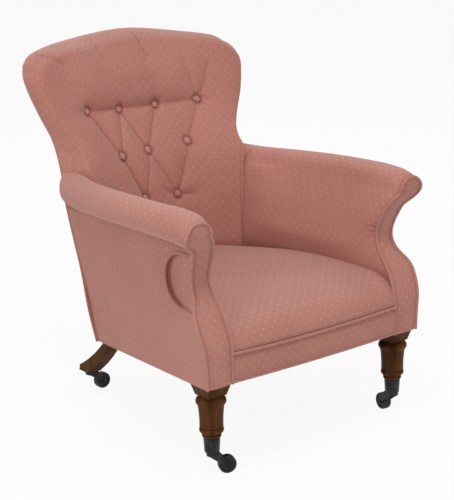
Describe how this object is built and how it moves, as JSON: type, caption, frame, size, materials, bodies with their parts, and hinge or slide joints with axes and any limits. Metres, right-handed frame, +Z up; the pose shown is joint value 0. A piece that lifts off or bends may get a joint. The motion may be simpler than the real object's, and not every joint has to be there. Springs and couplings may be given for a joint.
{
  "type": "button back armchair",
  "caption": "Low upholstered armchair with a flared button-tufted back, rolled arms with shaped facings, a domed seat, turned front legs, raked rear legs and casters.",
  "frame": {"origin": "on the floor, under the middle of the chair's bounding box", "axes": "+Z up, -Y to the front of the seat, +X to the sitter's left as they face -Y"},
  "size_m": [0.6814, 0.7906, 0.87],
  "materials": {
    "rose_fabric": "woven, small dots",
    "polished_walnut": "french polish",
    "frame_beech": "raw",
    "jute_webbing": "coarse weave",
    "canvas": "plain weave",
    "dust_cloth": "plain weave",
    "spring_steel": "dull",
    "caster_iron": "dark, worn",
    "caster_wheel": "dark, worn"
  },
  "bodies": {
    "frame": {"arm_facing_left": "rose_fabric", "arm_facing_right": "rose_fabric", "arm_pad_left": "rose_fabric", "arm_pad_right": "rose_fabric", "arm_rail_left": "frame_beech", "arm_rail_right": "frame_beech", "arm_stump_left": "frame_beech", "arm_stump_right": "frame_beech", "arm_tack_rail_left": "frame_beech", "arm_tack_rail_right": "frame_beech", "back_buttons": "rose_fabric", "back_pad": "rose_fabric", "back_tack_rail": "frame_beech", "back_upright_left": "frame_beech", "back_upright_right": "frame_beech", "back_webbing": "jute_webbing", "caster_cup_front_left": "caster_iron", "caster_cup_front_right": "caster_iron", "caster_plate_rear_left": "caster_iron", "caster_plate_rear_right": "caster_iron", "corner_braces": "frame_beech", "crest_rail": "frame_beech", "dust_cover": "dust_cloth", "front_border": "rose_fabric", "front_leg_left": "polished_walnut", "front_leg_right": "polished_walnut", "front_rail": "frame_beech", "outside_arm_left": "rose_fabric", "outside_arm_right": "rose_fabric", "outside_back": "rose_fabric", "rear_leg_left": "polished_walnut", "rear_leg_right": "polished_walnut", "rear_rail": "frame_beech", "seat_canvas": "canvas", "seat_front_cord": "rose_fabric", "seat_pad": "rose_fabric", "seat_springs": "spring_steel", "seat_webbing": "jute_webbing", "side_rail_left": "frame_beech", "side_rail_right": "frame_beech"},
    "swivel_front_left": {"caster_horn_front_left": "caster_iron", "caster_axle_front_left": "caster_iron"},
    "wheel_front_left": {"caster_wheel_front_left": "caster_wheel"},
    "swivel_front_right": {"caster_horn_front_right": "caster_iron", "caster_axle_front_right": "caster_iron"},
    "wheel_front_right": {"caster_wheel_front_right": "caster_wheel"},
    "swivel_rear_left": {"caster_horn_rear_left": "caster_iron", "caster_axle_rear_left": "caster_iron"},
    "wheel_rear_left": {"caster_wheel_rear_left": "caster_wheel"},
    "swivel_rear_right": {"caster_horn_rear_right": "caster_iron", "caster_axle_rear_right": "caster_iron"},
    "wheel_rear_right": {"caster_wheel_rear_right": "caster_wheel"}
  },
  "joints": [
    {"name": "swivel_front_left", "type": "hinge", "parent": "frame", "child": "swivel_front_left", "pos_m": [-0.2692, -0.35, 0.05], "axis": [0, 0, 1], "continuous": true},
    {"name": "roll_front_left", "type": "hinge", "parent": "swivel_front_left", "child": "wheel_front_left", "pos_m": [-0.2386, -0.36236, 0.02], "axis": [0.3746, 0.9272, 0], "continuous": true},
    {"name": "swivel_front_right", "type": "hinge", "parent": "frame", "child": "swivel_front_right", "pos_m": [0.2692, -0.35, 0.05], "axis": [0, 0, 1], "continuous": true},
    {"name": "roll_front_right", "type": "hinge", "parent": "swivel_front_right", "child": "wheel_front_right", "pos_m": [0.27322, -0.31725, 0.02], "axis": [-0.9925, 0.1219, 0], "continuous": true},
    {"name": "swivel_rear_left", "type": "hinge", "parent": "frame", "child": "swivel_rear_left", "pos_m": [-0.18979, 0.24492, 0.05], "axis": [0, 0, 1], "continuous": true},
    {"name": "roll_rear_left", "type": "hinge", "parent": "swivel_rear_left", "child": "wheel_rear_left", "pos_m": [-0.15679, 0.24492, 0.02], "axis": [0, 1, 0], "continuous": true},
    {"name": "swivel_rear_right", "type": "hinge", "parent": "frame", "child": "swivel_rear_right", "pos_m": [0.18979, 0.24492, 0.05], "axis": [0, 0, 1], "continuous": true},
    {"name": "roll_rear_right", "type": "hinge", "parent": "swivel_rear_right", "child": "wheel_rear_right", "pos_m": [0.16452, 0.26613, 0.02], "axis": [-0.6428, -0.766, 0], "continuous": true}
  ]
}
